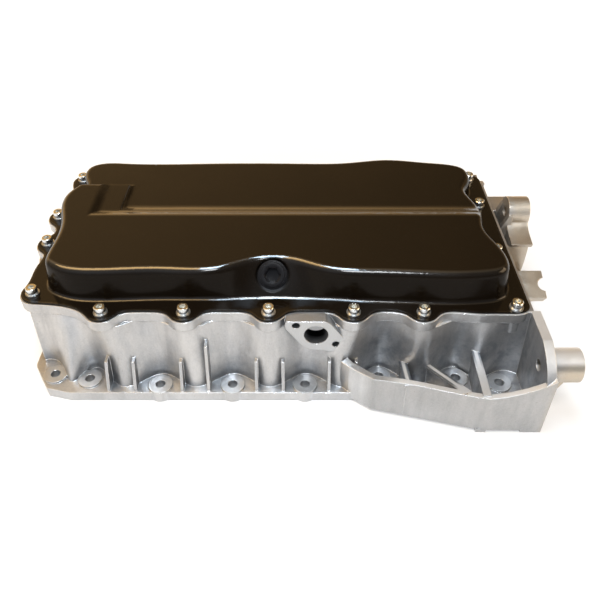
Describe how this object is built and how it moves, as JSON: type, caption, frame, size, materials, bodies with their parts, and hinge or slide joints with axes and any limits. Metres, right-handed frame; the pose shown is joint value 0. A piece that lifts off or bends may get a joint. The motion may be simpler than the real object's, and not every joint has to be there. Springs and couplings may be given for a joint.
{
  "type": "engine oil pan",
  "caption": "Engine oil pan: cast aluminium upper pan with a bolted black pressed-steel lower tray, drain plug, oil return flange and gearbox-end brackets.",
  "frame": {"origin": "on the block mating face, on the centre line between the long sides, near the middle of the sump", "axes": "+X along the engine towards the gearbox end, +Y towards the plain long side, +Z from the block face to the tray"},
  "size_m": [0.4912, 0.318, 0.112],
  "materials": {
    "cast_aluminium": "as cast, sand-blasted satin",
    "black_enamel": "gloss black enamel",
    "seal_rubber": "matt",
    "zinc_steel": "zinc plated, faintly yellow",
    "washer_steel": "plain",
    "black_steel": "black oxide, satin"
  },
  "bodies": {
    "pan": {"upper_pan_casting": "cast_aluminium", "lower_pan_tray": "black_enamel", "tray_seal": "seal_rubber", "drain_nut": "zinc_steel", "tray_washer_01": "zinc_steel", "tray_bolt_01": "zinc_steel", "tray_washer_02": "zinc_steel", "tray_bolt_02": "zinc_steel", "tray_washer_03": "zinc_steel", "tray_bolt_03": "zinc_steel", "tray_washer_04": "zinc_steel", "tray_bolt_04": "zinc_steel", "tray_washer_05": "zinc_steel", "tray_bolt_05": "zinc_steel", "tray_washer_06": "zinc_steel", "tray_bolt_06": "zinc_steel", "tray_washer_07": "zinc_steel", "tray_bolt_07": "zinc_steel", "tray_washer_08": "zinc_steel", "tray_bolt_08": "zinc_steel", "tray_washer_09": "zinc_steel", "tray_bolt_09": "zinc_steel", "tray_washer_10": "zinc_steel", "tray_bolt_10": "zinc_steel", "tray_washer_11": "zinc_steel", "tray_bolt_11": "zinc_steel", "tray_washer_12": "zinc_steel", "tray_bolt_12": "zinc_steel", "tray_washer_13": "zinc_steel", "tray_bolt_13": "zinc_steel", "tray_washer_14": "zinc_steel", "tray_bolt_14": "zinc_steel", "tray_washer_15": "zinc_steel", "tray_bolt_15": "zinc_steel", "tray_washer_16": "zinc_steel", "tray_bolt_16": "zinc_steel", "tray_washer_17": "zinc_steel", "tray_bolt_17": "zinc_steel", "tray_washer_18": "zinc_steel", "tray_bolt_18": "zinc_steel", "tray_washer_19": "zinc_steel", "tray_bolt_19": "zinc_steel"},
    "plug_seal": {"drain_plug_washer": "washer_steel"},
    "plug": {"drain_plug": "black_steel"}
  },
  "joints": [
    {"name": "drain_lift", "type": "slide", "parent": "pan", "child": "plug_seal", "axis": [0, -0.766, 0.6428], "range_m": [0, 0.012]},
    {"name": "drain_turn", "type": "hinge", "parent": "plug_seal", "child": "plug", "pos_m": [-0.024, -0.0794, 0.0971], "axis": [0, -0.766, 0.6428], "range_deg": [0, 2880]}
  ],
  "couplings": [
    {"joint": "drain_lift", "follows": "drain_turn", "m_per_rad": 0.00023873}
  ]
}
